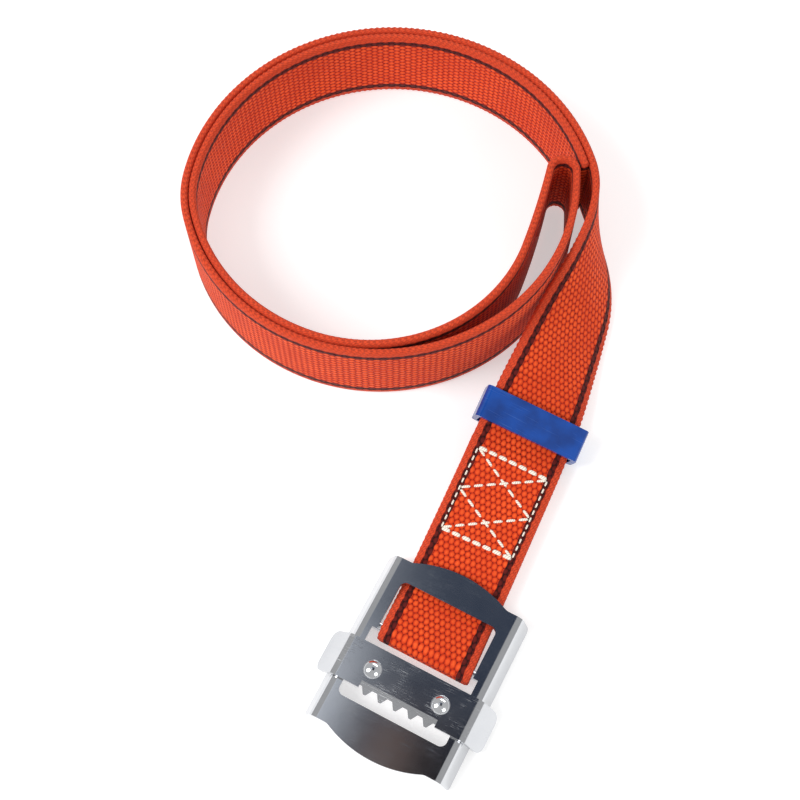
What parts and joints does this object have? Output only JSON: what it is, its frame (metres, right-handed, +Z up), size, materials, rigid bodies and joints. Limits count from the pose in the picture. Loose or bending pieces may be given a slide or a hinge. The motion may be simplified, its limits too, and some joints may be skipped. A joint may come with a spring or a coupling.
{
  "type": "webbing strap with toothed slide buckle",
  "caption": "Leg strap of woven webbing, a toothed steel slide buckle sewn to one end and a plastic keeper on it, twisted upright and coiled with its far end doubled back.",
  "frame": {"origin": "middle of the overall size, on the surface the coil and the buckle lie on", "axes": "+Y from the buckle along the strap to the coil, +Z up, +X to the buckle's side of the coil"},
  "size_m": [0.1604, 0.2216, 0.0301],
  "materials": {
    "webbing": "woven",
    "thread": "sewing thread",
    "plated_steel": "bright zinc plating",
    "keeper_plastic": "moulded"
  },
  "bodies": {
    "strap": {"webbing_eye": "webbing", "webbing_sewn_plies": "webbing", "webbing_keeper_run": "webbing", "webbing_twist": "webbing", "webbing_outer_far": "webbing", "webbing_outer_left": "webbing", "webbing_outer_near": "webbing", "webbing_outer_right": "webbing", "webbing_fold_back": "webbing", "webbing_return_run": "webbing", "webbing_return_curve": "webbing", "webbing_inner_near": "webbing", "webbing_inner_left": "webbing", "webbing_inner_far": "webbing", "box_stitching": "thread"},
    "frame": {"buckle_frame": "plated_steel", "crossbar_pin": "plated_steel"},
    "slider": {"toothed_slider": "plated_steel", "slider_backing_strip": "plated_steel", "slider_rivets": "plated_steel"},
    "keeper": {"keeper_loop": "keeper_plastic"}
  },
  "joints": [
    {"name": "frame_on_fold", "type": "hinge", "parent": "strap", "child": "frame", "pos_m": [0.05353, -0.07498, 0.00526], "axis": [0.9988, -0.0489, 0], "range_deg": [0, 60]},
    {"name": "slider_along_frame", "type": "slide", "parent": "frame", "child": "slider", "axis": [0.0489, 0.9988, 0], "range_m": [-0.0024, 0.0034]},
    {"name": "keeper_along_strap", "type": "slide", "parent": "strap", "child": "keeper", "axis": [0, 0.9875, 0.1575], "range_m": [-0.0035, 0.0008]}
  ]
}
